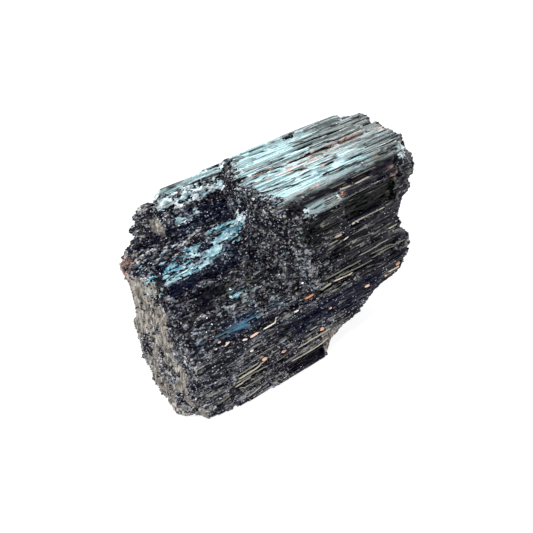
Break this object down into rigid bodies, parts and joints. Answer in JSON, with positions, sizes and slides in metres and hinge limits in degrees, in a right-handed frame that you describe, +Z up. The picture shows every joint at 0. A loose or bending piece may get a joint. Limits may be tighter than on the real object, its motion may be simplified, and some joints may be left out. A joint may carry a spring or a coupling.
{
  "type": "tourmaline crystal",
  "caption": "Rough black tourmaline crystal specimen with striated prism sides, broken ends and a stepped break across one upper corner, resting on a flat underside.",
  "frame": {"origin": "middle of the stone's underside, on the surface it rests on", "axes": "+X along the crystal's long prism axis towards the end with the intact striated side, +Y towards the back, +Z up"},
  "size_m": [0.079, 0.0382, 0.0425],
  "materials": {
    "black_tourmaline": "glossy black striated mineral with a teal gleam"
  },
  "bodies": {
    "root": {"tourmaline_crystal": "black_tourmaline"}
  },
  "joints": []
}
